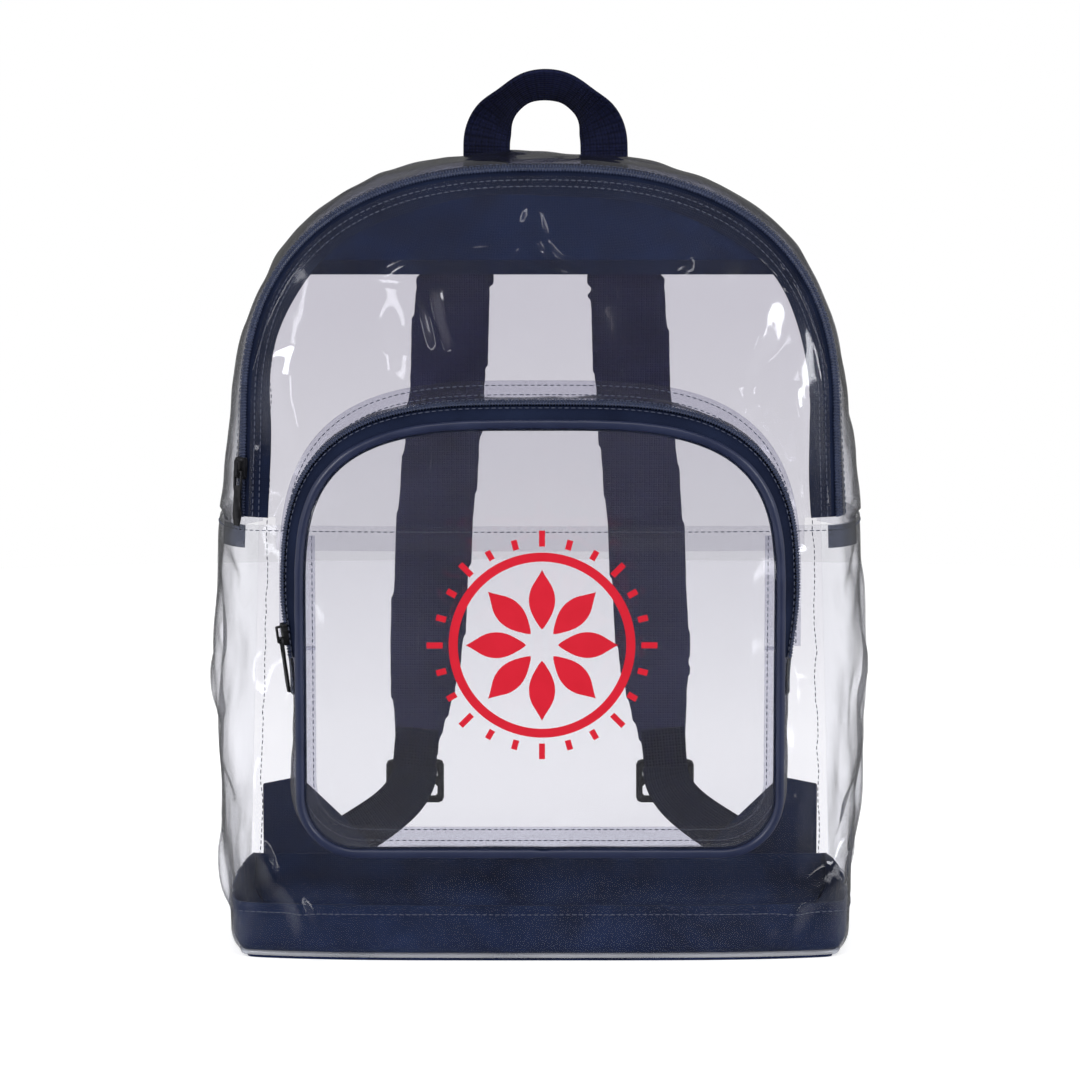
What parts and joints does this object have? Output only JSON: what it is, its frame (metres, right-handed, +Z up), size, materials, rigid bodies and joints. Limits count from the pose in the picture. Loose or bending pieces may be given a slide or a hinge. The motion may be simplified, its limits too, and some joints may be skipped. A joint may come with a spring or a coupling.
{
  "type": "clear stadium backpack",
  "caption": "Clear sheet backpack with an arched zipped front, a zipped front pocket, navy cloth base band and yoke, a webbing haul loop and padded shoulder straps.",
  "frame": {"origin": "on the ground under the middle of the whole backpack's box", "axes": "+X towards the bag's right as its front is looked at, -Y out of the front pocket, +Y towards the wearer, +Z up"},
  "size_m": [0.3398, 0.2256, 0.4588],
  "materials": {
    "clear_vinyl": "clear glossy flexible vinyl sheet with soft waves",
    "pale_welt": "bound edge of clear sheet, slightly milky",
    "navy_cloth": "plain woven coated nylon",
    "zipper_tape": "fine woven zipper tape",
    "zipper_coil": "nylon coil teeth",
    "navy_webbing": "heavy woven webbing",
    "navy_piping": "smooth coated piping",
    "strap_cloth": "brushed woven cloth over foam",
    "dark_metal": "black painted zipper hardware",
    "black_plastic": "moulded acetal"
  },
  "bodies": {
    "bag": {"front_panel_upper": "clear_vinyl", "upper_gusset": "clear_vinyl", "body_wrap_lower": "clear_vinyl", "back_panel": "clear_vinyl", "back_yoke": "navy_cloth", "base_band": "navy_cloth", "base_floor": "navy_cloth", "base_piping": "pale_welt", "main_zipper_tape_inner": "zipper_tape", "main_zipper_tape_outer": "zipper_tape", "main_zipper_coil": "zipper_coil", "main_zipper_slider": "dark_metal", "zipper_end_tab_left": "zipper_tape", "zipper_end_tab_right": "zipper_tape", "pocket_gusset_upper": "clear_vinyl", "pocket_gusset_lower": "clear_vinyl", "pocket_window": "clear_vinyl", "pocket_piping": "navy_piping", "pocket_zipper_tape": "zipper_tape", "pocket_zipper_coil": "zipper_coil", "pocket_zipper_slider": "dark_metal", "pocket_end_tab_left": "zipper_tape", "pocket_end_tab_right": "zipper_tape", "haul_handle": "navy_webbing", "shoulder_strap_left": "strap_cloth", "shoulder_strap_right": "strap_cloth", "strap_buckle_left": "black_plastic", "strap_buckle_right": "black_plastic", "strap_webbing_left": "navy_webbing", "strap_webbing_right": "navy_webbing", "strap_wing_left": "navy_cloth", "strap_wing_right": "navy_cloth"},
    "main_pull": {"main_zipper_pull": "dark_metal"},
    "pocket_pull": {"pocket_zipper_pull": "dark_metal"}
  },
  "joints": [
    {"name": "main_pull_swing", "type": "hinge", "parent": "bag", "child": "main_pull", "pos_m": [-0.1542, -0.05923, 0.25408], "axis": [-0.767, 0.6412, 0.0241], "range_deg": [0, 170]},
    {"name": "pocket_pull_swing", "type": "hinge", "parent": "bag", "child": "pocket_pull", "pos_m": [-0.12999, -0.10164, 0.17457], "axis": [-0.2751, 0.9607, -0.0364], "range_deg": [0, 170]}
  ]
}
